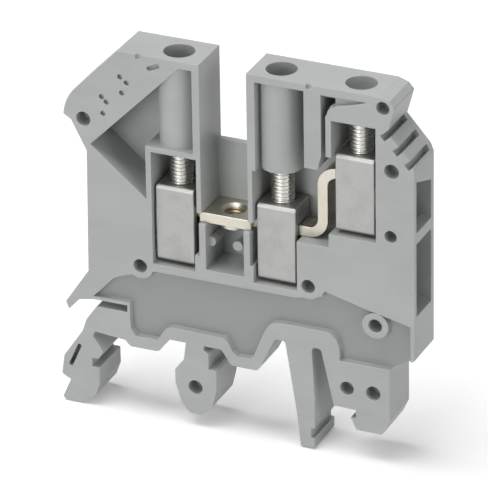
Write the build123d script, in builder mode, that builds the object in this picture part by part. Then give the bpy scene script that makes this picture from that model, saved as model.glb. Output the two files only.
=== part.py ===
from build123d import *
from math import atan2, degrees, hypot
import os

os.makedirs("parts", exist_ok=True)

# Feed-through terminal block with three screw clamps, one on the left and two on the right.
# X runs along the block, Y along the rail away from the open side, Z up.
# X = 0 is the middle of the rail, Y = 0 the open side, Z = 0 the underside of the rail.

# Mounting rail that the foot grips: top-hat section
rail_width = 35.0
rail_height = 7.5
rail_sheet = 1.0
rail_play = 0.1

# Housing, one moulding that is open on its front side
block_width = 6.2
back_wall = 0.8
front_wall = 0.7
top_plate = 0.95
relief_depth = 0.8
shallow_depth = 0.6
top_z = 50.35
top_left_x = -13.15
top_right_x = 20.9
left_wall_x = -17.6
left_wall_top_z = 36.2
right_wall_x = 25.4
right_wall_top_z = 41.4
right_wall_foot_z = 15.85
cut_past = 1.0

# Clamps: where the screws stand, and how far the right one is raised
left_screw_x = -6.25
middle_screw_x = 7.15
right_screw_x = 17.5
clamp_step = 8.5
clamp_travel = 4.4

# Current bar, of flat strip
bar_z = 29.15
bar_thickness = 1.3
bar_back_gap = 0.1
bar_side_gap = 0.25
bar_inner_bend = 1.25
bar_riser_x = 12.2
bar_end_margin = 0.3
bar_seat_gap = 0.05
bar_corner = 0.3
wide_left_x = -3.0
wide_right_x = 3.85

# Threaded bridge hole in the bar, with its drawn collar
bridge_x = 0.65
bridge_thread_diameter = 2.5
bridge_countersink = 0.35
collar_diameter = 3.5
collar_height = 0.8

# Clamp cages, each a strip folded round the bar
cage_width = 5.1
cage_setback = 0.6
cage_back_gap = 0.2
cage_height = 10.2
cage_wall = 0.8
cage_floor = 1.0
cage_roof = 2.4
cage_hang = 0.15
cage_bend = 0.5
cage_edge = 0.12
fold_gap = 0.12

# Clamp screws
shank_diameter = 2.9
head_diameter = 3.7
head_height = 2.0
head_lift = 0.2
head_edge = 0.2
slot_width = 0.8
slot_depth = 1.1
tip_chamfer = 0.4
tip_gap = 0.05
thread_gap = 0.04
head_gap = 0.1

# Screw towers and the pockets that the cages slide in
tower_setback = 0.3
tower_wall_overlap = 0.25
tower_side_room = 1.45
head_room = 0.2
floor_gap = 0.4
pocket_left_gap = 0.25
pocket_right_gap = 0.4
left_pocket_right_x = -3.05
middle_pocket_left_x = 4.35
bar_space_right_x = 14.3
bar_space_head_room = 2.25
bar_space_shelf_drop = 1.95

# Bridge trench between the two inner clamps, and the chamber under the bar
trench_left_x = -2.45
trench_right_x = 3.75
trench_back_top_z = 38.25
chamber_left_x = -1.95
chamber_right_x = 3.1
chamber_floor_z = 22.95
post_z = 26.3
post_x = 1.8
post_radius = 0.65
post_front_y = 1.2

# Wire entries: the room at each throat
throat_floor_z = 24.4
throat_roof_z = 28.55
upper_throat_floor_z = 33.1

# Pegs on the closed side and the sockets that take the pegs of the next block
socket_diameter = 1.8
socket_depth = 2.4
socket_end_chamfer = 0.25
cover_hole_depth = 2.0
hook_slot_depth = 1.6
peg_gap = 0.05
peg_length = 1.2
peg_chamfer = 0.25
boss_radius = 1.7
peg_places = [(-10.8, 21.75), (11.55, 23.3), (20.3, 19.65)]

# Grooves for marker strips in the right shoulder
marker_groove_width = 0.85
marker_groove_back_gap = 0.1
marker_groove_roots = [(21.3, 44.95), (22.9, 43.25), (24.4, 41.65)]

# Values worked out from the sizes above
pocket_depth = block_width - back_wall
cage_depth = pocket_depth - cage_setback - cage_back_gap
screw_y = cage_setback + cage_depth / 2
bar_wide = 2 * (pocket_depth - bar_back_gap - screw_y)
bar_narrow = cage_depth - 2 * cage_wall - 2 * bar_side_gap
tower_diameter = 2 * (screw_y - tower_setback)
marker_groove_end_y = pocket_depth - marker_groove_back_gap
bar_top = bar_z + bar_thickness
cage_top = bar_top + cage_hang + cage_roof
cage_bottom = cage_top - cage_height
ceiling_z = cage_top + clamp_travel + head_room
lip_top_z = ceiling_z + front_wall
pocket_floor_z = cage_bottom - floor_gap
bore_diameter = head_diameter + 2 * head_gap
pocket_left = cage_width / 2 + pocket_left_gap
pocket_right = cage_width / 2 + pocket_right_gap
flange_top = rail_height + rail_play
flange_under = rail_height - rail_sheet - rail_play
flange_tip = rail_width / 2 + 2 * rail_play
leg_bottom = rail_sheet + 1.5 * rail_play
hollow_top_z = top_z - top_plate
bar_space_top_z = bar_top + clamp_step + bar_space_head_room
bar_space_shelf_z = bar_space_top_z - bar_space_shelf_drop
clamps = {
    "left": (left_screw_x, 0.0),
    "middle": (middle_screw_x, 0.0),
    "right": (right_screw_x, clamp_step),
}

# Outline of the moulding, from the left beak round the foot to the right shoulder

beak = [
    (-17.85, 19.75),
    (-21.05, 14.9),
    (-20.65, 13.9),
    (-19.2, 15.5),
    (-17.2, 15.9),
]

foot_left = [
    (-12.7, 15.9),
    (-12.7, 14.95),
    (-16.9, 14.95),
    (-18.3, 12.95),
    (-18.9, 11.2),
    (-21.5, 7.3),
    (-21.9, 4.65),
    (-20.7, 4.0),
    (-21.85, 1.4),
    (-21.3, 0.95),
    (-19.1, 0.95),
    (-17.4, 2.4),
    (-16.75, 4.2),
    (-16.75, flange_under),
    (-flange_tip, flange_under),
    (-flange_tip, flange_top),
    (-16.9, flange_top),
    (-16.15, 8.7),
    (-17.5, 10.7),
    (-17.2, 11.4),
    (-13.1, 11.05),
    (-12.4, 10.3),
    (-8.6, 10.35),
    (-7.1, 12.3),
    (-4.9, 12.3),
]

foot_centre = [
    (-5.2, 9.9),
    (-6.4, 8.4),
    (-6.4, 6.5),
    (-5.6, 3.9),
    (-4.5, 2.6),
    (-3.0, 2.6),
    (-1.5, 3.9),
    (-0.9, 6.4),
    (-0.85, 9.15),
    (-1.9, 9.15),
    (-1.9, 11.3),
    (-2.5, 11.7),
    (-2.5, 12.3),
]

foot_right = [
    (-0.1, 12.3),
    (1.2, 10.35),
    (4.7, 10.35),
    (7.1, 15.25),
    (8.4, 15.25),
    (9.9, 5.5),
    (10.35, leg_bottom),
    (12.2, leg_bottom),
    (12.2, 2.5),
    (11.75, 2.5),
    (11.75, 3.85),
    (12.2, 3.85),
    (12.25, 8.0),
    (11.9, 15.05),
    (13.15, 15.05),
    (14.8, flange_top),
    (flange_tip, flange_top),
    (flange_tip, flange_under),
    (17.0, flange_under),
    (17.8, 4.85),
    (21.2, 4.85),
    (22.15, 6.9),
    (22.15, 13.95),
]

shoulder_right = [
    (right_wall_x, right_wall_top_z),
    (25.0, 42.4),
    (22.0, 45.85),
    (22.9, 49.1),
    (22.2, 49.9),
]

shoulder_normal = degrees(atan2(25.0 - 22.0, 45.85 - 42.4))

# Corners of the outline that are rounded, by radius

rounded = {
    1.2: [(-6.4, 6.5), (-5.6, 3.9), (-4.5, 2.6), (-3.0, 2.6), (-1.5, 3.9), (-0.9, 6.4)],
    0.6: [(-6.4, 8.4), (7.1, 15.25), (8.4, 15.25), (-18.9, 11.2), (-17.4, 2.4), (21.2, 4.85)],
    0.5: [(11.9, 15.05), (13.15, 15.05), (-8.6, 10.35), (1.2, 10.35), (4.7, 10.35), (22.15, 6.9)],
    0.4: [(-12.4, 10.3), (-7.1, 12.3), (-0.1, 12.3), (-0.85, 9.15), (-16.9, 14.95), (-21.5, 7.3)],
    0.3: [(-21.9, 4.65), (-21.85, 1.4), (-19.1, 0.95), (-21.05, 14.9), (17.8, 4.85), (22.9, 49.1)],
}

# Hollows of the moulding seen from the open side

left_hollow = [
    (-17.1, 37.2),
    (-5.1, hollow_top_z),
    (-3.4, hollow_top_z),
    (-3.4, lip_top_z),
    (left_screw_x - pocket_left - front_wall, lip_top_z),
    (left_screw_x - pocket_left - front_wall, 31.1),
]

left_pocket = [
    (left_screw_x - pocket_left, pocket_floor_z),
    (-3.4, pocket_floor_z),
    (-3.4, 24.65),
    (-2.8, 24.65),
    (-2.8, bar_z),
    (left_pocket_right_x, bar_z),
    (left_pocket_right_x, ceiling_z),
    (left_screw_x - pocket_left, ceiling_z),
]

middle_pocket = [
    (middle_pocket_left_x, pocket_floor_z),
    (middle_screw_x + pocket_right, pocket_floor_z),
    (middle_screw_x + pocket_right, ceiling_z),
    (middle_pocket_left_x, ceiling_z),
    (middle_pocket_left_x, bar_z),
    (3.9, bar_z),
    (3.9, 24.65),
    (middle_pocket_left_x, 24.65),
]

tower_hollow_left_x = middle_screw_x - tower_diameter / 2 + tower_wall_overlap
tower_hollow_right_x = middle_screw_x + tower_diameter / 2 + tower_side_room

tower_hollow = [
    (tower_hollow_left_x, ceiling_z - front_wall),
    (tower_hollow_right_x, ceiling_z - front_wall),
    (tower_hollow_right_x, hollow_top_z),
    (tower_hollow_left_x, hollow_top_z),
]

bar_space = [
    (middle_screw_x + pocket_right - front_wall, bar_z - bar_seat_gap),
    (bar_space_right_x, bar_z - bar_seat_gap),
    (bar_space_right_x, bar_space_top_z),
    (14.0, bar_space_top_z),
    (14.0, 46.9),
    (14.4, 47.7),
    (15.1, 48.15),
    (15.1, 48.9),
    (13.4, 48.9),
    (13.4, bar_space_top_z),
    (12.9, bar_space_shelf_z),
    (middle_screw_x + pocket_right - front_wall, bar_space_shelf_z),
]

right_pocket = [
    (bar_space_right_x - bar_seat_gap, pocket_floor_z + clamp_step),
    (right_screw_x + pocket_right, pocket_floor_z + clamp_step),
    (right_screw_x + pocket_right, ceiling_z + clamp_step),
    (right_screw_x - pocket_left, ceiling_z + clamp_step),
    (right_screw_x - pocket_left, bar_space_top_z),
    (bar_space_right_x - bar_seat_gap, bar_space_top_z),
]

bridge_trench = [
    (trench_left_x, bar_z - bar_seat_gap),
    (trench_right_x, bar_z - bar_seat_gap),
    (trench_right_x, top_z + cut_past),
    (trench_left_x, top_z + cut_past),
]

bar_notch = [
    (left_pocket_right_x - front_wall, bar_z - bar_seat_gap),
    (middle_pocket_left_x + front_wall, bar_z - bar_seat_gap),
    (middle_pocket_left_x + front_wall, bar_top + bar_seat_gap),
    (left_pocket_right_x - front_wall, bar_top + bar_seat_gap),
]

under_bar_chamber = [
    (chamber_left_x, chamber_floor_z),
    (chamber_right_x, chamber_floor_z),
    (chamber_right_x, bar_z),
    (chamber_left_x, bar_z),
]

full_depth_hollows = [
    left_hollow,
    left_pocket,
    middle_pocket,
    tower_hollow,
    bar_space,
    right_pocket,
    bridge_trench,
    bar_notch,
    under_bar_chamber,
]

trench_window = [
    (trench_left_x, trench_back_top_z),
    (trench_right_x, trench_back_top_z),
    (trench_right_x, top_z + cut_past),
    (trench_left_x, top_z + cut_past),
]

# Wire entries behind the front wall

left_entry = [
    (left_wall_x - cut_past, 21.3),
    (left_screw_x - pocket_left + bar_seat_gap, cage_bottom + cage_floor),
    (left_screw_x - pocket_left + bar_seat_gap, 29.9),
    (left_wall_x, 35.25),
    (left_wall_x - cut_past, 35.25),
]

lower_entry = [
    (right_wall_x + cut_past, 21.25),
    (14.2, throat_floor_z),
    (middle_screw_x + pocket_right - bar_seat_gap, throat_floor_z),
    (middle_screw_x + pocket_right - bar_seat_gap, throat_roof_z),
    (bar_space_right_x, throat_roof_z),
    (16.0, 29.6),
    (20.5, 30.25),
    (right_wall_x, 31.35),
    (right_wall_x + cut_past, 31.35),
]

upper_entry = [
    (right_wall_x + cut_past, 32.75),
    (right_wall_x, 32.75),
    (24.2, upper_throat_floor_z),
    (right_screw_x + pocket_right - bar_seat_gap, upper_throat_floor_z),
    (right_screw_x + pocket_right - bar_seat_gap, bar_z + clamp_step),
    (right_wall_x, 37.9),
    (right_wall_x + cut_past, 37.9),
]

window_crest = [
    (-front_wall, 37.0),
    (-front_wall, 39.6),
    (-pocket_depth, 37.9),
    (-pocket_depth, 37.0),
]

window_crest_length = 1.6

# Relieved lower front, which leaves a rim along the foot

relief = [
    (-17.3, 16.3),
    (-16.0, 17.65),
    (-14.5, 19.35),
    (-13.0, 20.05),
    (-8.8, 21.35),
    (9.7, 21.45),
    (13.3, 22.25),
    (13.7, 23.05),
    (18.8, 21.75),
    (24.9, 20.4),
    (24.9, 15.3),
    (22.4, 13.95),
    (15.6, 13.95),
    (15.6, 15.55),
    (15.2, 16.65),
    (14.5, 17.35),
    (13.9, 17.55),
    (8.0, 17.55),
    (6.8, 17.35),
    (6.0, 16.55),
    (5.3, 15.05),
    (4.2, 12.25),
    (3.6, 11.85),
    (2.0, 11.75),
    (1.4, 12.25),
    (0.9, 13.25),
    (0.3, 13.95),
    (-6.8, 14.05),
    (-7.6, 13.65),
    (-8.7, 11.95),
    (-11.6, 11.85),
    (-12.2, 12.65),
    (-12.35, 13.6),
    (-12.35, 16.3),
]

arch_recess = [
    (13.4, 46.6),
    (14.1, 46.6),
    (14.35, 47.3),
    (14.9, 47.9),
    (15.6, 48.2),
    (17.5, 48.7),
    (19.4, 49.3),
    (13.4, 49.3),
]

# Small holes of the open side: place and radius

cover_holes = [
    (-17.95, 40.45, 0.95),
    (22.35, 32.1, 0.8),
    (22.5, 40.8, 0.95),
    (21.4, 48.95, 0.85),
    (-3.7, 6.35, 0.95),
    (16.55, 10.35, 0.9),
    (20.0, 10.35, 0.95),
]

dimples = [
    (-15.4, 43.85),
    (-14.8, 43.25),
    (-12.9, 46.95),
    (-12.05, 46.3),
    (-15.3, 41.65),
    (-12.7, 44.85),
]

dimple_radius = 0.35
dimple_depth = 0.5
oblong_start = (-9.0, 48.75)
oblong_end = (-7.9, 49.25)
oblong_width = 0.6
hook_slot_start = (-20.6, 6.25)
hook_slot_end = (-19.4, 8.95)
hook_slot_width = 0.55
edge_mark_radius = 0.35
edge_mark_depth = 0.6
edge_marks = [-10.4, 11.9]


def corners_at(points):
    """Picks the sketch corners that lie on the given points."""
    return [v for v in vertices() if any(hypot(v.X - x, v.Y - z) < bar_seat_gap for x, z in points)]


def closed_polygon(points):
    """Adds a filled polygon to the sketch being drawn."""
    Polygon(*points, align=None)


def groove(start, end, width):
    """Adds a round-ended groove from one point to another to the sketch being drawn."""
    run = end[0] - start[0]
    rise = end[1] - start[1]
    with Locations(((start[0] + end[0]) / 2, (start[1] + end[1]) / 2)):
        SlotCenterToCenter(hypot(run, rise), width, rotation=degrees(atan2(rise, run)))


with BuildPart() as housing:
    with BuildSketch(Plane.XZ):
        with BuildLine():
            brow = Line((top_left_x, top_z), (-18.9, 44.45))
            nose = TangentArc(brow @ 1, (-20.6, 40.7), tangent=brow % 1)
            Polyline(
                nose @ 1,
                (-19.6, 40.1),
                (left_wall_x, left_wall_top_z),
                *beak,
                *foot_left,
                *foot_centre,
                *foot_right,
                (right_wall_x, right_wall_foot_z),
                *shoulder_right,
                (top_right_x, top_z),
                (top_left_x, top_z),
            )
        make_face()
        for radius, points in rounded.items():
            fillet(corners_at(points), radius)
    extrude(amount=-block_width)

    # Hollows of the full depth, closed by the back wall
    for hollow in full_depth_hollows:
        with BuildSketch(Plane.XZ):
            closed_polygon(hollow)
        extrude(amount=-pocket_depth, mode=Mode.SUBTRACT)

    # The bridge trench is open right through above its back panel
    with BuildSketch(Plane.XZ):
        closed_polygon(trench_window)
    extrude(amount=-block_width, mode=Mode.SUBTRACT)

    # Wire entries, closed on the front side
    for entry in (left_entry, lower_entry, upper_entry):
        with BuildSketch(Plane.XZ.offset(-front_wall)):
            closed_polygon(entry)
        extrude(amount=front_wall - pocket_depth, mode=Mode.SUBTRACT)

    # The upper entry's sloping crest
    with BuildSketch(Plane(origin=(right_wall_x, 0, 0), x_dir=(0, -1, 0), z_dir=(-1, 0, 0))):
        closed_polygon(window_crest)
    extrude(amount=window_crest_length, mode=Mode.SUBTRACT)

    # Relieved lower front with three raised bosses
    with BuildSketch(Plane.XZ):
        closed_polygon(relief)
        with Locations(*peg_places):
            Circle(boss_radius, mode=Mode.SUBTRACT)
    extrude(amount=-relief_depth, mode=Mode.SUBTRACT)

    # Shallow recess above the right clamp
    with BuildSketch(Plane.XZ):
        closed_polygon(arch_recess)
    extrude(amount=-shallow_depth, mode=Mode.SUBTRACT)

    # Screw towers of the left and middle clamps
    with Locations(*[(x, screw_y, ceiling_z) for x in (left_screw_x, middle_screw_x)]):
        Cylinder(
            tower_diameter / 2,
            hollow_top_z - ceiling_z + top_plate / 2,
            align=(Align.CENTER, Align.CENTER, Align.MIN),
        )

    # Screw bores, from the top down into each cage pocket
    for x, step in clamps.values():
        with Locations((x, screw_y, top_z + cut_past)):
            Cylinder(
                bore_diameter / 2,
                top_z + cut_past - ceiling_z - step + front_wall / 2,
                align=(Align.CENTER, Align.CENTER, Align.MAX),
                mode=Mode.SUBTRACT,
            )

    # Posts in the chamber under the bar
    with BuildSketch(Plane.XZ.offset(-post_front_y)):
        with Locations((-post_x, post_z), (post_x, post_z)):
            Circle(post_radius)
    extrude(amount=post_front_y - pocket_depth - back_wall / 2)

    # Sockets in the bosses, chamfered at their blind ends as the pegs are at their tips
    with BuildSketch(Plane.XZ):
        with Locations(*peg_places):
            Circle(socket_diameter / 2)
    extrude(amount=-socket_depth, mode=Mode.SUBTRACT)
    chamfer(edges(Select.LAST).group_by(Axis.Y)[-1], socket_end_chamfer)

    # Holes that take a cover's pegs, and the slot in the left hook
    with BuildSketch(Plane.XZ):
        for x, z, radius in cover_holes:
            with Locations((x, z)):
                Circle(radius)
    extrude(amount=-cover_hole_depth, mode=Mode.SUBTRACT)
    with BuildSketch(Plane.XZ):
        groove(hook_slot_start, hook_slot_end, hook_slot_width)
    extrude(amount=-hook_slot_depth, mode=Mode.SUBTRACT)

    # Dimples and an oblong mark on the brow, and two marks on the top's front edge
    with BuildSketch(Plane.XZ):
        with Locations(*dimples):
            Circle(dimple_radius)
        groove(oblong_start, oblong_end, oblong_width)
    extrude(amount=-dimple_depth, mode=Mode.SUBTRACT)
    with Locations(*[(x, 0, top_z) for x in edge_marks]):
        Cylinder(edge_mark_radius, 2 * edge_mark_depth, mode=Mode.SUBTRACT)

    # Grooves for marker strips, cut square into the shoulder
    with BuildSketch(Plane.XZ):
        with Locations(*marker_groove_roots):
            Rectangle(
                3 * cut_past,
                marker_groove_width,
                rotation=shoulder_normal,
                align=(Align.MIN, Align.CENTER),
            )
    extrude(amount=-marker_groove_end_y, mode=Mode.SUBTRACT)

    # Pegs on the closed side
    with BuildSketch(Plane.XZ.offset(-block_width)):
        with Locations(*peg_places):
            Circle(socket_diameter / 2 - peg_gap)
    extrude(amount=-peg_length)
    chamfer(faces().sort_by(Axis.Y)[-3:].edges(), peg_chamfer)

housing.part.label = "housing"
export_step(housing.part, "parts/housing.step")

# Current bar: runs through the left and middle cages, then steps up to the right one

bar_left_x = left_screw_x - cage_width / 2 + bar_end_margin
bar_right_x = right_screw_x + cage_width / 2 - bar_end_margin
riser_right_x = bar_riser_x + bar_thickness

bar_profile = [
    (bar_left_x, bar_z),
    (riser_right_x, bar_z),
    (riser_right_x, bar_z + clamp_step),
    (bar_right_x, bar_z + clamp_step),
    (bar_right_x, bar_top + clamp_step),
    (bar_riser_x, bar_top + clamp_step),
    (bar_riser_x, bar_top),
    (bar_left_x, bar_top),
]

with BuildPart() as current_bar:
    with BuildSketch(Plane.XZ.offset(-screw_y)):
        closed_polygon(bar_profile)
        inner = [(riser_right_x, bar_z + clamp_step), (bar_riser_x, bar_top)]
        outer = [(riser_right_x, bar_z), (bar_riser_x, bar_top + clamp_step)]
        fillet(corners_at(inner), bar_inner_bend)
        fillet(corners_at(outer), bar_inner_bend + bar_thickness)
    extrude(amount=bar_narrow / 2, both=True)

    # Wide part across the bridge trench
    with BuildSketch(Plane.XY.offset(bar_z)):
        with Locations(((wide_left_x + wide_right_x) / 2, screw_y)):
            RectangleRounded(wide_right_x - wide_left_x, bar_wide, bar_corner)
    extrude(amount=bar_thickness)

    # Drawn collar and bridge thread
    with Locations((bridge_x, screw_y, bar_z)):
        Cylinder(
            collar_diameter / 2, collar_height, align=(Align.CENTER, Align.CENTER, Align.MAX)
        )
    with Locations((bridge_x, screw_y, bar_z)):
        Cylinder(bridge_thread_diameter / 2, 4 * collar_height, mode=Mode.SUBTRACT)
    with Locations((bridge_x, screw_y, bar_top)):
        Cone(
            bridge_thread_diameter / 2,
            bridge_thread_diameter / 2 + bridge_countersink,
            bridge_countersink,
            align=(Align.CENTER, Align.CENTER, Align.MAX),
            mode=Mode.SUBTRACT,
        )

current_bar.part.label = "current_bar"
export_step(current_bar.part, "parts/current_bar.step")

# Clamp cages: a rectangular sleeve open along X, with a folded roof that takes the screw

for side, (x, step) in clamps.items():
    with BuildPart() as cage:
        with BuildSketch(Plane.YZ.offset(x - cage_width / 2)):
            with Locations((screw_y, cage_bottom + step + cage_height / 2)):
                RectangleRounded(cage_depth, cage_height, cage_bend)
        extrude(amount=cage_width)
        front_and_back = faces().filter_by(Axis.X).edges().filter_by(Axis.Z)
        chamfer(front_and_back, cage_edge)
        with BuildSketch(Plane.YZ.offset(x - cage_width / 2)):
            with Locations((screw_y, cage_bottom + step + cage_floor)):
                Rectangle(
                    cage_depth - 2 * cage_wall,
                    cage_height - cage_floor - cage_roof,
                    align=(Align.CENTER, Align.MIN),
                )
            with Locations((screw_y, cage_top + step - cage_roof / 2)):
                Rectangle(cage_depth - 2 * cage_wall, fold_gap)
        extrude(amount=cage_width, mode=Mode.SUBTRACT)
        with Locations((x, screw_y, cage_top + step)):
            Cylinder(shank_diameter / 2 + thread_gap, 2.2 * cage_roof, mode=Mode.SUBTRACT)

    cage.part.label = f"{side}_cage"
    export_step(cage.part, f"parts/{side}_cage.step")

# Clamp screws: slotted cheese heads, with their tips on the bar

for side, (x, step) in clamps.items():
    tip_z = bar_top + tip_gap + step
    seat_z = ceiling_z + head_lift + step
    with BuildPart() as screw:
        with Locations((x, screw_y, tip_z)):
            Cylinder(
                shank_diameter / 2,
                seat_z - tip_z,
                align=(Align.CENTER, Align.CENTER, Align.MIN),
            )
        chamfer(faces().sort_by(Axis.Z)[0].edges(), tip_chamfer)
        with Locations((x, screw_y, seat_z)):
            Cylinder(
                head_diameter / 2, head_height, align=(Align.CENTER, Align.CENTER, Align.MIN)
            )
        chamfer(faces().sort_by(Axis.Z)[-1].edges(), head_edge)
        with Locations((x, screw_y, seat_z + head_height)):
            Box(head_diameter, slot_width, 2 * slot_depth, mode=Mode.SUBTRACT)

    screw.part.label = f"{side}_screw"
    export_step(screw.part, f"parts/{side}_screw.step")
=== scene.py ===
"""Looks of the feed-through terminal block: finishes, threaded screws, studio and camera.

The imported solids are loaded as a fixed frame. They keep their shapes and get procedural
materials. The clamp screws are replaced by screws of the same size with cut threads, and
the bridge hole gets its internal thread.

Lengths are in millimetres, in the part's own frame, and become metres where they reach
Blender.
"""

import logging
import math
from dataclasses import dataclass, field
from enum import Enum
from typing import Any, ClassVar, Optional, Sequence, Union

import bpy
import numpy as np
from mathutils import Matrix, Quaternion, Vector

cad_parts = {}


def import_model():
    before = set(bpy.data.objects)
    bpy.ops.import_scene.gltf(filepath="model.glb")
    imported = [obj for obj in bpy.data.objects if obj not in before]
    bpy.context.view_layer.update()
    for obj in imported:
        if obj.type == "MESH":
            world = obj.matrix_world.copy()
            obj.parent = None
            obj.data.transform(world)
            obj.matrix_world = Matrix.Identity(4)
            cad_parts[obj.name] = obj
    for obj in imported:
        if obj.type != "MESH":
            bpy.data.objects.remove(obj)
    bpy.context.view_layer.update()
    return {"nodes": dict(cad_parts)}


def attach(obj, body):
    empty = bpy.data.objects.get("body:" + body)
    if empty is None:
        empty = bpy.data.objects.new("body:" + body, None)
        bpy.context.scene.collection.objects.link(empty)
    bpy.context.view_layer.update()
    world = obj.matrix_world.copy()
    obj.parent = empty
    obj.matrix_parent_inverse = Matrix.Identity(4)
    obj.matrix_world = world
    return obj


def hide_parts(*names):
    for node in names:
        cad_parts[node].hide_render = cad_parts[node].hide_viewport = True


Number = Union[int, float]
Triple = tuple[float, float, float]
Span = tuple[float, float]
Skin = tuple[np.ndarray, list[tuple[int, ...]]]

LOG = logging.getLogger("terminal_block")
MM = 0.001
EVEN: Triple = (1.0, 1.0, 1.0)
BLACK: Triple = (0.0, 0.0, 0.0)
WHITE: Triple = (1.0, 1.0, 1.0)

# Sockets of a Mix node that mixes colours.
MIX_FACTOR, MIX_LOW, MIX_HIGH, MIX_RESULT = 0, 6, 7, 2

BEVEL_SAMPLES = 6
# One minus the cosine between a rounded and a flat normal, where an edge begins and is full.
EDGE_SPAN: Span = (0.004, 0.16)
NOISE_MIDDLE = 0.5

# The plane of the screws' axes and of the bridge hole's.
SCREW_Y = 2.9


class Look(Enum):
    """How a mesh is shaded: the angle in degrees past which an edge is sharp."""

    SMOOTH = 180.0
    TURNED = 35.0


class Signal:
    """A shader socket, with Python's operators for one that carries a number."""

    def __init__(self, recipe: "Recipe", socket: Optional[bpy.types.NodeSocket]) -> None:
        """Wraps a socket.

        Args:
            recipe: The recipe that the socket belongs to.
            socket: An output socket of one of its nodes, or None for a node without any.
        """
        self.recipe = recipe
        self.socket = socket

    def _math(self, operation: str, *values: "Signal | Number") -> "Signal":
        """Adds a Math node.

        Args:
            operation: The node's operation.
            values: Its inputs, in order.

        Returns:
            The node's result.
        """
        return self.recipe.add("ShaderNodeMath", {"operation": operation}, values)

    def __add__(self, other: "Signal | Number") -> "Signal":
        """Sum."""
        return self._math("ADD", self, other)

    def __radd__(self, other: Number) -> "Signal":
        """Sum with a number on the left."""
        return self._math("ADD", other, self)

    def __sub__(self, other: "Signal | Number") -> "Signal":
        """Difference."""
        return self._math("SUBTRACT", self, other)

    def __rsub__(self, other: Number) -> "Signal":
        """Difference with a number on the left."""
        return self._math("SUBTRACT", other, self)

    def __mul__(self, other: "Signal | Number") -> "Signal":
        """Product."""
        return self._math("MULTIPLY", self, other)

    def __pow__(self, other: Number) -> "Signal":
        """Power."""
        return self._math("POWER", self, other)

    def abs(self) -> "Signal":
        """Absolute value."""
        return self._math("ABSOLUTE", self)

    def at_most(self, other: "Signal | Number") -> "Signal":
        """The smaller of the two."""
        return self._math("MINIMUM", self, other)

    def at_least(self, other: "Signal | Number") -> "Signal":
        """The larger of the two."""
        return self._math("MAXIMUM", self, other)

    def ramp(self, low: Number, high: Number) -> "Signal":
        """Rises smoothly from 0 at low to 1 at high.

        Args:
            low: Where the rise starts.
            high: Where it ends.

        Returns:
            A value between 0 and 1.
        """
        return self.recipe.add(
            "ShaderNodeMapRange",
            {"interpolation_type": "SMOOTHSTEP"},
            {"Value": self, "From Min": low, "From Max": high},
        )


@dataclass(frozen=True)
class Grain:
    """Noise of one size.

    Attributes:
        size: Size of a spot.
        stretch: How much longer a spot is along each axis.
        detail: Number of finer layers.
    """

    size: float
    stretch: Triple = EVEN
    detail: float = 3.0


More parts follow.
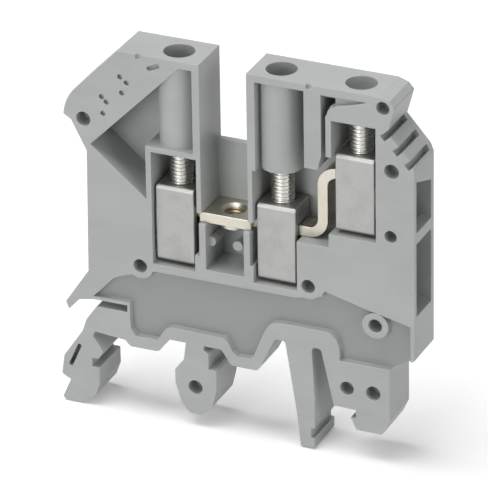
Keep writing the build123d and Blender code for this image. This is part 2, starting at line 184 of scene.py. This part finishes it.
class Recipe:
    """The node tree of a material or of the world, built up by expressions."""

    def __init__(self, owner: Union[bpy.types.Material, bpy.types.World]) -> None:
        """Starts from an empty tree.

        Args:
            owner: What the tree belongs to.
        """
        owner.use_nodes = True
        self.owner = owner
        self.tree = owner.node_tree
        self.tree.nodes.clear()

    def add(
        self,
        kind: str,
        settings: Optional[dict[str, Any]] = None,
        inputs: Union[Sequence[Any], dict[Any, Any], None] = None,
        output: Union[int, str] = 0,
    ) -> Signal:
        """Adds a node, its settings first, then its inputs.

        Args:
            kind: The node's type.
            settings: Attributes of the node.
            inputs: Values or links, in order or by socket name.
            output: Which output to return.

        Returns:
            The chosen output.
        """
        node = self.tree.nodes.new(kind)
        for key, value in (settings or {}).items():
            setattr(node, key, value)
        pairs = inputs.items() if isinstance(inputs, dict) else enumerate(inputs or [])
        for key, value in pairs:
            target = node.inputs[key]
            if isinstance(value, Signal):
                self.tree.links.new(value.socket, target)
            elif target.type == "RGBA":
                target.default_value = (*value, 1.0)
            else:
                target.default_value = value
        return Signal(self, node.outputs[output] if len(node.outputs) else None)

    def axis(self, name: str) -> Signal:
        """One coordinate of the point being shaded.

        Args:
            name: X, Y or Z.

        Returns:
            The coordinate in millimetres.
        """
        place = self.add("ShaderNodeTexCoord", output="Object")
        return self.add("ShaderNodeSeparateXYZ", None, [place], name) * (1 / MM)

    def _texture(self, kind: str, size: float, stretch: Triple, **inputs: float) -> Signal:
        """Adds a texture node of the given size.

        Args:
            kind: The node's type.
            size: Size of a spot.
            stretch: How much longer a spot is along each axis.
            inputs: Further inputs by name.

        Returns:
            Its first output, which is noise or distance.
        """
        place = self.add("ShaderNodeTexCoord", output="Object")
        scale = tuple(1 / (MM * size * share) for share in stretch)
        where = self.add("ShaderNodeMapping", None, {"Vector": place, "Scale": scale})
        return self.add(kind, None, {"Vector": where, "Scale": 1.0, **inputs})

    def grain(self, grain: Grain) -> Signal:
        """Noise.

        Args:
            grain: Its size, stretch and detail.

        Returns:
            A value between 0 and 1.
        """
        return self._texture("ShaderNodeTexNoise", grain.size, grain.stretch, Detail=grain.detail)

    def pits(self, spacing: float) -> Signal:
        """Distance to the nearest of scattered points, as a share of their spacing.

        Args:
            spacing: Their spacing.

        Returns:
            0 at a point, about 1 between points.
        """
        return self._texture("ShaderNodeTexVoronoi", spacing, EVEN)

    def blend(self, factor: Signal, low: Any, high: Any) -> Signal:
        """Mixes two colours.

        Args:
            factor: 0 for the first colour, 1 for the second.
            low: The first colour.
            high: The second colour.

        Returns:
            The mixed colour.
        """
        inputs = {MIX_FACTOR: factor, MIX_LOW: low, MIX_HIGH: high}
        return self.add("ShaderNodeMix", {"data_type": "RGBA"}, inputs, MIX_RESULT)

    def rounded_normal(self, radius: float) -> Signal:
        """Normal that turns smoothly round every edge, as if it had the given radius.

        Args:
            radius: The radius.

        Returns:
            The normal.
        """
        return self.add("ShaderNodeBevel", {"samples": BEVEL_SAMPLES}, {"Radius": radius * MM})

    def edges(self, rounded: Signal) -> Signal:
        """How near the point is to an edge.

        Args:
            rounded: A rounded normal.

        Returns:
            0 on a flat, 1 at an edge.
        """
        flat = self.add("ShaderNodeNewGeometry", output="True Normal")
        along = self.add(
            "ShaderNodeVectorMath", {"operation": "DOT_PRODUCT"}, [rounded, flat], "Value"
        )
        return (1 - along).ramp(*EDGE_SPAN)

    def bump(self, height: Signal, depth: float, normal: Signal) -> Signal:
        """Bumps a normal.

        Args:
            height: Height as a share of the depth.
            depth: The depth.
            normal: The normal to start from.

        Returns:
            The bumped normal.
        """
        inputs = {"Strength": 1.0, "Distance": depth * MM, "Height": height, "Normal": normal}
        return self.add("ShaderNodeBump", None, inputs)

    def finish(self, **inputs: Any) -> bpy.types.Material:
        """Ends a material's recipe in a Principled shader.

        Args:
            inputs: Its inputs by name, with _ for a space.

        Returns:
            The material.
        """
        named = {key.replace("_", " "): value for key, value in inputs.items()}
        shader = self.add("ShaderNodeBsdfPrincipled", None, named)
        self.add("ShaderNodeOutputMaterial", None, {"Surface": shader})
        return self.owner


@dataclass(frozen=True)
class MouldedPlastic:
    """Light grey glass-filled plastic from a spark-eroded mould.

    Attributes:
        deep_colour: Colour of the darkest patches.
        edge_highlight_colour: Colour of the painted highlight at the edges, also given to the
            specks.
        recess_shade_colour: Colour of the painted shade on the recessed part of the front.
        cloud: Large soft patches of tone.
        flow: Streaks along the way the plastic flowed.
        skin: The mould's fine eroded skin.
        light_span: Tones between which the colour rises to its full lightness.
        relief_reach: Distances from the relief's depth over which it fades.
        relief_facing: Cosines to the front over which it comes in.
        mark_line: Width of an ejector mark's ring.
        ejector_marks: X, Z and radius of each mark.
    """

    name: str = "housing_moulding"
    colour: Triple = (0.405, 0.421, 0.412)
    deep_colour: Triple = (0.345, 0.359, 0.352)
    edge_highlight_colour: Triple = (0.55, 0.567, 0.555)
    recess_shade_colour: Triple = (0.26, 0.272, 0.265)
    roughness: float = 0.46
    ior: float = 1.53
    edge_radius: float = 0.13
    cloud: Grain = Grain(9.0, (1.6, 1.0, 1.0), 2.0)
    flow: Grain = Grain(1.6, (3.5, 1.0, 1.0), 4.0)
    skin: Grain = Grain(0.11, detail=2.0)
    cloud_tone: float = 0.55
    flow_tone: float = 0.35
    light_span: Span = (0.35, 0.75)
    relief_depth: float = 0.8
    relief_reach: Span = (0.05, 0.1)
    relief_facing: Span = (0.985, 0.999)
    recess_shade_share: float = 0.85
    edge_highlight_share: float = 0.75
    speck_spacing: float = 0.5
    speck_span: Span = (0.02, 0.16)
    speck_share: float = 0.12
    flow_roughness: float = 0.14
    skin_roughness: float = 0.1
    edge_polish: float = 0.1
    bump_depth: float = 0.016
    skin_height: float = 0.5
    flow_height: float = 0.2
    mark_height: float = 0.6
    mark_line: float = 0.07
    ejector_marks: tuple[Triple, ...] = (
        (-14.6, 26.6, 1.5),
        (-12.5, 43.2, 1.1),
        (0.6, 26.0, 1.5),
        (12.3, 44.6, 1.3),
        (21.0, 26.8, 1.5),
        (21.9, 37.0, 1.1),
        (0.6, 18.2, 1.7),
        (-10.3, 14.9, 1.1),
        (19.4, 15.6, 1.3),
    )

    def _ejector_rings(self, recipe: Recipe) -> Signal:
        """Shallow round marks that the mould's ejector pins leave, all the way through in Y.

        Height = the lowest, over all marks, of a smooth rise with the distance from the ring.

        Args:
            recipe: The recipe.

        Returns:
            1 off the marks, 0 in a ring.
        """
        x, z = recipe.axis("X"), recipe.axis("Z")
        level: Optional[Signal] = None
        for mark_x, mark_z, radius in self.ejector_marks:
            from_centre = ((x - mark_x) ** 2 + (z - mark_z) ** 2) ** 0.5
            ring = (from_centre - radius).abs().ramp(0.0, self.mark_line)
            level = ring if level is None else level.at_most(ring)
        return level

    def _painted_recess_shade(self, recipe: Recipe) -> Signal:
        """The recessed part of the front, where shade is painted in as a darker colour.

        Args:
            recipe: The recipe.

        Returns:
            1 on flats that face the front at the relief's depth, 0 elsewhere.
        """
        facing = recipe.add("ShaderNodeTexCoord", output="Normal")
        ahead = 0 - recipe.add("ShaderNodeSeparateXYZ", None, [facing], "Y")
        off = (recipe.axis("Y") - self.relief_depth).abs()
        return (1 - off.ramp(*self.relief_reach)) * ahead.ramp(*self.relief_facing)

    def material(self) -> bpy.types.Material:
        """Builds the material.

        Returns:
            The material.
        """
        recipe = Recipe(bpy.data.materials.new(self.name))
        normal = recipe.rounded_normal(self.edge_radius)
        edge = recipe.edges(normal)
        skin = recipe.grain(self.skin)
        cloud_swing = recipe.grain(self.cloud) - NOISE_MIDDLE
        flow = recipe.grain(self.flow)
        flow_swing = flow - NOISE_MIDDLE
        specks = recipe.pits(self.speck_spacing).ramp(*self.speck_span)

        tone = cloud_swing * self.cloud_tone + flow_swing * self.flow_tone + NOISE_MIDDLE
        colour = recipe.blend(tone.ramp(0.0, 1.0), self.deep_colour, self.colour)
        colour = recipe.blend(tone.ramp(*self.light_span), colour, self.colour)
        # Painted shade: the recessed part of the front is darkened as if in shadow.
        recess_shade = self._painted_recess_shade(recipe) * self.recess_shade_share
        colour = recipe.blend(recess_shade, colour, self.recess_shade_colour)
        # Painted highlight: the edges are lightened as if they caught the light.
        colour = recipe.blend(edge * self.edge_highlight_share, colour, self.edge_highlight_colour)
        # Pale specks in the plastic take the same colour as the painted edge highlight.
        colour = recipe.blend((1 - specks) * self.speck_share, colour, self.edge_highlight_colour)

        rough = self.roughness + flow_swing * self.flow_roughness
        rough = rough + (skin - NOISE_MIDDLE) * self.skin_roughness - edge * self.edge_polish
        height = skin * self.skin_height + flow * self.flow_height
        height = height + self._ejector_rings(recipe) * self.mark_height
        return recipe.finish(
            Base_Color=colour,
            Roughness=rough,
            Normal=recipe.bump(height, self.bump_depth, normal),
            IOR=self.ior,
        )


@dataclass(frozen=True)
class PlatedMetal:
    """Metal with a thin plating, drawn or rolled along one axis.

    Attributes:
        dull_colour: Colour of the patches and spots where the plating is dull.
        edge_highlight_colour: Colour of the painted highlight at the edges.
        strokes: Fine lines along the way it was drawn.
        cloud: Large dull patches.
        spots: Small dull spots.
        cloud_span: Noise between which a patch comes in.
        spot_span: Noise between which a spot comes in.
        edge_highlight_strength: How strongly the painted highlight lightens the edges.
    """

    name: str
    colour: Triple
    dull_colour: Triple
    edge_highlight_colour: Triple
    roughness: float
    edge_radius: float = 0.12
    strokes: Grain = Grain(0.09, (1.0, 1.0, 14.0))
    cloud: Grain = Grain(2.4)
    spots: Grain = Grain(0.35, detail=4.0)
    cloud_span: Span = (0.4, 0.75)
    spot_span: Span = (0.58, 0.72)
    cloud_share: float = 0.55
    spot_share: float = 0.35
    edge_highlight_strength: float = 0.5
    stroke_roughness: float = 0.22
    dull_roughness: float = 0.14
    edge_polish: float = 0.08
    bump_depth: float = 0.006
    cloud_height: float = 0.4

    def material(self) -> bpy.types.Material:
        """Builds the material.

        Returns:
            The material.
        """
        recipe = Recipe(bpy.data.materials.new(self.name))
        normal = recipe.rounded_normal(self.edge_radius)
        edge = recipe.edges(normal)
        strokes = recipe.grain(self.strokes)
        cloud = recipe.grain(self.cloud)
        spots = recipe.grain(self.spots).ramp(*self.spot_span)
        patches = cloud.ramp(*self.cloud_span)
        dull = (patches * self.cloud_share + spots * self.spot_share).at_most(1.0)

        colour = recipe.blend(dull, self.colour, self.dull_colour)
        # Painted highlight: the edges are lightened as if they caught the light.
        colour = recipe.blend(edge * self.edge_highlight_strength, colour, self.edge_highlight_colour)
        rough = self.roughness + (strokes - NOISE_MIDDLE) * self.stroke_roughness
        rough = rough + dull * self.dull_roughness - edge * self.edge_polish
        height = strokes + cloud * self.cloud_height
        return recipe.finish(
            Base_Color=colour,
            Metallic=1.0,
            Roughness=rough,
            Normal=recipe.bump(height, self.bump_depth, normal),
        )


CAGE_STEEL = PlatedMetal(
    name="cage_zinc",
    colour=(0.36, 0.36, 0.35),
    dull_colour=(0.295, 0.295, 0.28),
    edge_highlight_colour=(0.60, 0.60, 0.59),
    roughness=0.46,
)

TINNED_COPPER = PlatedMetal(
    name="bar_tin",
    colour=(0.57, 0.545, 0.475),
    dull_colour=(0.47, 0.435, 0.35),
    edge_highlight_colour=(0.78, 0.745, 0.66),
    roughness=0.36,
    strokes=Grain(0.09, (14.0, 1.0, 1.0)),
)

# Bare copper where the thread is cut, painted darker than copper as the shade inside the bridge
# hole.
SHADED_THREAD_COPPER = PlatedMetal(
    name="bridge_thread_shaded_copper",
    colour=(0.40, 0.32, 0.23),
    dull_colour=(0.26, 0.20, 0.14),
    edge_highlight_colour=(0.62, 0.52, 0.38),
    roughness=0.36,
)

SCREW_STEEL = PlatedMetal(
    name="screw_zinc",
    colour=(0.66, 0.65, 0.615),
    dull_colour=(0.53, 0.52, 0.475),
    edge_highlight_colour=(0.80, 0.79, 0.76),
    roughness=0.26,
    edge_radius=0.06,
    strokes=Grain(0.06, (3.0, 3.0, 1.0)),
    bump_depth=0.003,
)


def turned(x: float, radii: np.ndarray, heights: np.ndarray, around: int) -> np.ndarray:
    """Rings about an upright axis in the screws' plane.

    Point (i, j) = axis + radius (i, j) times (cosine, sine) of the j-th angle, at height i.

    Args:
        x: Where the axis stands along the block.
        radii: Radius as (ring, angle) or (ring, 1).
        heights: Height of each ring.
        around: Number of points in a ring.

    Returns:
        Points, as (ring, angle, coordinate).
    """
    angle = np.linspace(0, 2 * np.pi, around, endpoint=False)[None, :]
    radii = np.broadcast_to(radii, (len(heights), around))
    z = np.broadcast_to(heights[:, None], radii.shape)
    return np.stack([x + radii * np.cos(angle), SCREW_Y + radii * np.sin(angle), z], -1)


def lofted(rings: np.ndarray) -> Skin:
    """Closed skin over a stack of rings, with a point in the middle of each end.

    Point (i, j) is the j-th point of the i-th ring. A face joins each pair of neighbours
    round a ring to the same pair of the next ring, and a fan closes each end.

    Args:
        rings: Points, as (ring, place round the ring, coordinate), anticlockwise from above
            and rising.

    Returns:
        The vertices and the faces.
    """
    stack, around = rings.shape[:2]
    points = np.vstack([rings.reshape(-1, 3), rings[0].mean(0), rings[-1].mean(0)])
    number = np.arange(stack * around).reshape(stack, around)
    after = np.roll(number, -1, axis=1)
    skin = np.stack([number[:-1], after[:-1], after[1:], number[1:]], -1).reshape(-1, 4)
    low = np.full(around, stack * around)
    bottom = np.stack([low, after[0], number[0]], -1)
    top = np.stack([low + 1, number[-1], after[-1]], -1)
    return points, [*map(tuple, skin), *map(tuple, bottom), *map(tuple, top)]


def ringed(rings: np.ndarray) -> Skin:
    """Closed skin over rings whose last one joins the first, as a tube bent into itself.

    Args:
        rings: Points, as (ring, place round the ring, coordinate).

    Returns:
        The vertices and the faces.
    """
    stack, around = rings.shape[:2]
    number = np.arange(stack * around).reshape(stack, around)
    after, above = np.roll(number, -1, axis=1), np.roll(number, -1, axis=0)
    both = np.roll(after, -1, axis=0)
    skin = np.stack([number, after, both, above], -1).reshape(-1, 4)
    return rings.reshape(-1, 3), list(map(tuple, skin))


def joined(skins: Sequence[Skin]) -> Skin:
    """Several skins as one, each after the last.

    Args:
        skins: The vertices and faces of each.

    Returns:
        The vertices and the faces.
    """
    faces: list[tuple[int, ...]] = []
    start = 0
    for points, skin in skins:
        faces += [tuple(start + n for n in face) for face in skin]
        start += len(points)
    return np.vstack([points for points, _ in skins]), faces


@dataclass
class Piece:
    """A mesh of the scene that rides on one of the part's bodies."""

    name: str
    body: str
    slot: str

    def publish(self, skin: Skin, finish: bpy.types.Material, look: Look) -> bpy.types.Object:
        """Makes an object of a skin and lets it ride on its body.

        Args:
            skin: The vertices, and the faces seen from outside anticlockwise.
            finish: The material.
            look: How it is shaded.

        Returns:
            The object.
        """
        points, faces = skin
        mesh = bpy.data.meshes.new(self.name)
        mesh.from_pydata((points * MM).tolist(), [], [list(map(int, f)) for f in faces])
        mesh.polygons.foreach_set("use_smooth", [True] * len(mesh.polygons))
        if look is Look.TURNED:
            mesh.set_sharp_from_angle(angle=math.radians(look.value))
        mesh.materials.append(finish)
        mesh.update()
        made = bpy.data.objects.new(self.name, mesh)
        bpy.context.scene.collection.objects.link(made)
        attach(made, self.body)
        LOG.info("made %s with %d faces", made.name, len(mesh.polygons))
        return made


@dataclass
class Thread:
    """An ISO thread's form along a helix.

    Attributes:
        root: Share of the triangle wave that is cut off at the root.
        flank: Share of it between root and crest.
        steps_per_turn: Rings to a turn.
        around: Points in a ring.
    """

    pitch: float = 0.5
    depth: float = 0.24
    root: float = 0.16
    flank: float = 0.66
    steps_per_turn: int = 12
    around: int = 56

    def form(self, turn: np.ndarray) -> np.ndarray:
        """Height of the thread as a share of its depth.

        A triangle wave of the place within the turn, cut off at both ends by a smooth step,
        so that crest and root are flat with rounded corners.

        Args:
            turn: Place along the helix, in turns.

        Returns:
            0 at the root, 1 at the crest.
        """
        wave = 1 - np.abs(2 * (turn % 1.0) - 1)
        cut = np.clip((wave - self.root) / self.flank, 0, 1)
        return cut * cut * (3 - 2 * cut)

    def heights(self, low: float, high: float, fade: float) -> tuple[np.ndarray, np.ndarray]:
        """Thread height over a cylinder, fading out at both ends.

        Args:
            low: Where it starts along the axis.
            high: Where it ends.
            fade: Over what length it fades.

        Returns:
            The places along the axis, and the heights as (place, angle).
        """
        along = np.linspace(low, high, int((high - low) / self.pitch * self.steps_per_turn) + 1)
        angle = np.linspace(0, 2 * np.pi, self.around, endpoint=False)
        turn = along[:, None] / self.pitch - angle[None, :] / (2 * np.pi)
        share = np.clip(np.minimum(along - low, high - along) / fade, 0, 1)[:, None]
        return along, self.form(turn) * share


@dataclass
class ClampScrew(Piece):
    """A slotted cheese-head screw with a cut thread, which replaces its solid.

    Attributes:
        x: Its axis.
        step: How much higher it stands than the left and middle screws.
        tip_z: Its tip, before the step.
        seat_z: The underside of its head, before the step.
        bare_length: Length of the shank's bare end under the head.
        neck_gap: How far below the head the last ring of that bare end lies.
        overlap: How far the shank reaches into the head.
        head_edge: How much the head's top edge is rounded.
        sink: How far a head half reaches below the slot's floor.
    """

    x: float = 0.0
    step: float = 0.0
    tip_z: float = 30.5
    seat_z: float = 37.8
    shank_radius: float = 1.45
    tip_chamfer: float = 0.4
    bare_length: float = 0.3
    neck_gap: float = 0.02
    overlap: float = 0.2
    thread_fade: float = 0.25
    head_radius: float = 1.85
    head_height: float = 2.0
    head_edge: float = 0.2
    slot_width: float = 0.8
    slot_depth: float = 1.1
    sink: float = 0.05
    arc_points: int = 33
    chord_points: int = 9
    low_edge_rings: int = 5
    top_edge_rings: int = 6
    thread: Thread = field(default_factory=Thread)

    def _round(self, radii: np.ndarray, heights: np.ndarray) -> np.ndarray:
        """Rings about the screw's axis.

        Args:
            radii: Radius as (ring, angle) or (ring, 1).
            heights: Height of each ring, before the step.

        Returns:
            The rings' points.
        """
        return turned(self.x, radii, heights + self.step, self.thread.around)

    def _shank(self) -> Skin:
        """The threaded shank, from its chamfered tip to the head.

        Radius = root + thread height, and no more than the chamfer allows near the tip.

        Returns:
            The vertices and the faces.
        """
        top = self.seat_z - self.bare_length
        along, height = self.thread.heights(self.tip_z, top, self.thread_fade)
        radii = self.shank_radius - self.thread.depth * (1 - height)
        limit = self.shank_radius - self.tip_chamfer + (along - self.tip_z)[:, None]
        radii = np.minimum(radii, limit)
        neck = np.full((2, self.thread.around), self.shank_radius - self.thread.depth)
        ends = [self.seat_z - self.neck_gap, self.seat_z + self.overlap]
        return lofted(self._round(np.vstack([radii, neck]), np.concatenate([along, ends])))

    def _head_disc(self) -> Skin:
        """The head below its slot: a disc, its lower edge rounded half as much as the top.

        Returns:
            The vertices and the faces.
        """
        turn = np.linspace(0, np.pi / 2, self.low_edge_rings)
        edge = 0.5 * self.head_edge
        radii = self.head_radius - edge * (1 - np.sin(turn))
        low = self.seat_z + edge * (1 - np.cos(turn))
        floor = self.seat_z + self.head_height - self.slot_depth
        heights = np.append(low, floor)
        return lofted(self._round(np.append(radii, self.head_radius)[:, None], heights))

    def _head_half(self, side: int) -> Skin:
        """One half of the head beside the slot.

        Its outline is a circle cut off by a chord. The outline shrinks towards its own middle
        by a rounded edge at the top.

        Args:
            side: 1 or -1, on which side of the slot it stands.

        Returns:
            The vertices and the faces.
        """
        chord = self.slot_width / 2
        start = math.asin(chord / self.head_radius)
        arc = np.linspace(start, np.pi - start, self.arc_points)
        reach = self.head_radius * math.cos(start)
        flat = np.linspace(-1, 1, self.chord_points)[1:-1] * reach
        curve = np.stack([self.head_radius * np.cos(arc), self.head_radius * np.sin(arc)], -1)
        line = np.stack([flat, np.full(flat.size, chord)], -1)
        outline = side * np.vstack([curve, line])
        middle = outline.mean(0)
        spokes = outline - middle
        length = np.linalg.norm(spokes, axis=1, keepdims=True)
        turn = np.linspace(0, np.pi / 2, self.top_edge_rings)
        insets = np.append([0.0], self.head_edge * (1 - np.cos(turn)))
        drops = np.append([self.slot_depth + self.sink], self.head_edge * (1 - np.sin(turn)))
        top = self.seat_z + self.head_height + self.step
        rings = [
            np.column_stack(
                [
                    middle + spokes * (1 - inset / length) + (self.x, SCREW_Y),
                    np.full(len(outline), top - drop),
                ]
            )
            for inset, drop in zip(insets, drops)
        ]
        return lofted(np.array(rings))

    def build(self, finish: bpy.types.Material) -> bpy.types.Object:
        """Makes the screw and hides its solid.

        Args:
            finish: The material.

        Returns:
            The screw.
        """
        halves = [self._head_half(side) for side in (1, -1)]
        skin = joined([self._shank(), self._head_disc(), *halves])
        made = self.publish(skin, finish, Look.TURNED)
        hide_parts(self.name.replace("threaded_", ""))
        return made


@dataclass
class BridgeThread(Piece):
    """The internal thread of the bar's bridge hole, as a sleeve let into its wall.

    Attributes:
        radius: Radius of the hole, with a little of its wall.
        skin: How far the root of the thread stands inside that radius.
        sink: How far the sleeve's outer wall lies outside it, in the bar.
    """

    x: float = 0.65
    low: float = 28.4
    high: float = 30.05
    radius: float = 1.27
    skin: float = 0.03
    sink: float = 0.05
    thread_fade: float = 0.3
    thread: Thread = field(default_factory=lambda: Thread(depth=0.2))

    def build(self, finish: bpy.types.Material) -> bpy.types.Object:
        """Makes the sleeve.

        Inner radius = hole radius minus thread height. The outer wall lies in the bar.

        Args:
            finish: The material.

        Returns:
            The sleeve.
        """
        along, height = self.thread.heights(self.low, self.high, self.thread_fade)
        inner = self.radius - self.skin - self.thread.depth * height
        outer = np.full((2, self.thread.around), self.radius + self.sink)
        radii = np.vstack([inner[::-1], outer])
        heights = np.concatenate([along[::-1], [self.low, self.high]])
        rings = turned(self.x, radii, heights, self.thread.around)
        return self.publish(ringed(rings), finish, Look.SMOOTH)


@dataclass(frozen=True)
class Softbox:
    """A square lamp.

    Attributes:
        place: Its middle.
        size: Its side.
        watts: Its power.
    """

    name: str
    place: Triple
    size: float
    watts: float


@dataclass
class Studio:
    """White floor, soft lamps and the camera at the photograph's viewing angle.

    Attributes:
        floor_half_width: Half the floor's side, in metres.
        floor_colour: Its colour for the light that it throws on the block. It is seen white.
        floor_glow: What it adds to that white.
        aim: Where the camera and the lamps look.
        focal_px: Focal length in pixels of a picture of the given height.
        sky: Strength of the world's light.
    """

    floor_z: float = 0.9
    floor_half_width: float = 3.0
    floor_colour: Triple = (0.86, 0.86, 0.86)
    floor_glow: float = 0.16
    floor_roughness: float = 0.9
    camera_place: Triple = (260.2, -571.4, 348.0)
    aim: Triple = (1.75, 3.1, 24.9)
    roll_deg: float = -0.94
    focal_px: float = 5820.0
    picture_height_px: float = 500.0
    sensor_width: float = 36.0
    sky: float = 0.05
    lamps: ClassVar[tuple[Softbox, ...]] = (
        Softbox("overhead_softbox", (-140.0, -60.0, 620.0), 420.0, 3.2),
        Softbox("low_front_softbox", (-150.0, -640.0, 120.0), 300.0, 1.5),
        Softbox("high_front_softbox", (-60.0, -420.0, 500.0), 300.0, 0.45),
        Softbox("right_softbox", (600.0, -180.0, 240.0), 320.0, 1.15),
        Softbox("rear_softbox", (-20.0, 670.0, 130.0), 300.0, 1.4),
    )

    def _background(self, recipe: Recipe) -> Signal:
        """1 for rays that show the background to the camera or in a reflection.

        Args:
            recipe: A recipe.

        Returns:
            The mask.
        """
        seen = recipe.add("ShaderNodeLightPath", output="Is Camera Ray")
        for name in ("Is Glossy Ray", "Is Transmission Ray"):
            seen = seen.at_least(recipe.add("ShaderNodeLightPath", output=name))
        return seen

    def _aimed(self, where: Vector) -> Quaternion:
        """The turn that lets something look at the block.

        Args:
            where: Where it stands, in metres.

        Returns:
            The turn.
        """
        return (Vector(self.aim) * MM - where).to_track_quat("-Z", "Y")

    def floor(self) -> None:
        """Lays the floor, which looks white but throws back less light than white would."""
        recipe = Recipe(bpy.data.materials.new("studio_floor"))
        seen = self._background(recipe)
        finish = recipe.finish(
            Base_Color=recipe.blend(seen, self.floor_colour, WHITE),
            Roughness=self.floor_roughness,
            Specular_IOR_Level=0.0,
            Emission_Color=recipe.blend(seen, BLACK, (self.floor_glow,) * 3),
            Emission_Strength=1.0,
        )
        w, z = self.floor_half_width, self.floor_z * MM
        corners = [(-w, -w, z), (w, -w, z), (w, w, z), (-w, w, z)]
        mesh = bpy.data.meshes.new("studio_floor")
        mesh.from_pydata(corners, [], [(0, 1, 2, 3)])
        mesh.materials.append(finish)
        made = bpy.data.objects.new("studio_floor", mesh)
        bpy.context.scene.collection.objects.link(made)

    def sky_light(self) -> None:
        """Lights the world evenly and shows it white."""
        world = bpy.data.worlds.new("studio_world")
        recipe = Recipe(world)
        colour = recipe.blend(self._background(recipe), (self.sky,) * 3, WHITE)
        shader = recipe.add("ShaderNodeBackground", None, {"Color": colour, "Strength": 1.0})
        recipe.add("ShaderNodeOutputWorld", None, {"Surface": shader})
        bpy.context.scene.world = world

    def light(self) -> None:
        """Hangs the softboxes, each aimed at the block."""
        for box in self.lamps:
            data = bpy.data.lights.new(box.name, "AREA")
            data.shape = "SQUARE"
            data.size = box.size * MM
            data.energy = box.watts
            lamp = bpy.data.objects.new(box.name, data)
            lamp.location = Vector(box.place) * MM
            lamp.rotation_mode = "QUATERNION"
            lamp.rotation_quaternion = self._aimed(lamp.location)
            bpy.context.scene.collection.objects.link(lamp)

    def camera(self) -> None:
        """Puts up the camera."""
        data = bpy.data.cameras.new("camera")
        data.sensor_width = self.sensor_width
        data.lens = self.focal_px / self.picture_height_px * self.sensor_width
        made = bpy.data.objects.new("camera", data)
        where = Vector(self.camera_place) * MM
        turn = self._aimed(where).to_matrix().to_4x4()
        roll = Matrix.Rotation(math.radians(self.roll_deg), 4, "Z")
        made.matrix_world = Matrix.Translation(where) @ turn @ roll
        bpy.context.scene.collection.objects.link(made)
        bpy.context.scene.camera = made


@dataclass
class TerminalBlock:
    """The whole part: its solids dressed, and the pieces that stand for some of them.

    Attributes:
        nodes: The solids by name.
        clamps: X of each clamp's screw, and its step.
    """

    nodes: dict[str, bpy.types.Object]
    clamps: ClassVar[dict[str, Span]] = {
        "left": (-6.25, 0.0),
        "middle": (7.15, 0.0),
        "right": (17.5, 8.5),
    }

    def dress(self, name: str, finish: bpy.types.Material) -> None:
        """Gives a solid its material.

        Args:
            name: The node.
            finish: The material.
        """
        for slot in self.nodes[name].material_slots:
            slot.material = finish
        LOG.info("dressed %s with %s", name, finish.name)

    def build(self) -> None:
        """Dresses the solids and makes the new pieces."""
        plastic = MouldedPlastic().material()
        cage, tin, steel = (f.material() for f in (CAGE_STEEL, TINNED_COPPER, SCREW_STEEL))
        self.dress("housing", plastic)
        self.dress("current_bar", tin)
        for side, (x, step) in self.clamps.items():
            self.dress(f"{side}_cage", cage)
            self.dress(f"{side}_screw", steel)
            ClampScrew(
                name=f"threaded_{side}_screw",
                body=f"{side}_turner",
                slot="screw_steel",
                x=x,
                step=step,
            ).build(steel)
        sleeve = BridgeThread(name="bridge_thread", body="block", slot="tinned_copper")
        sleeve.build(SHADED_THREAD_COPPER.material())


def main() -> None:
    """Builds the scene."""
    logging.basicConfig(level=logging.INFO, format="%(name)s: %(message)s")
    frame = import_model()
    bpy.context.scene.view_settings.view_transform = "Standard"
    TerminalBlock(frame["nodes"]).build()
    studio = Studio()
    studio.floor()
    studio.sky_light()
    studio.light()
    studio.camera()


if __name__ == "__main__":
    main()
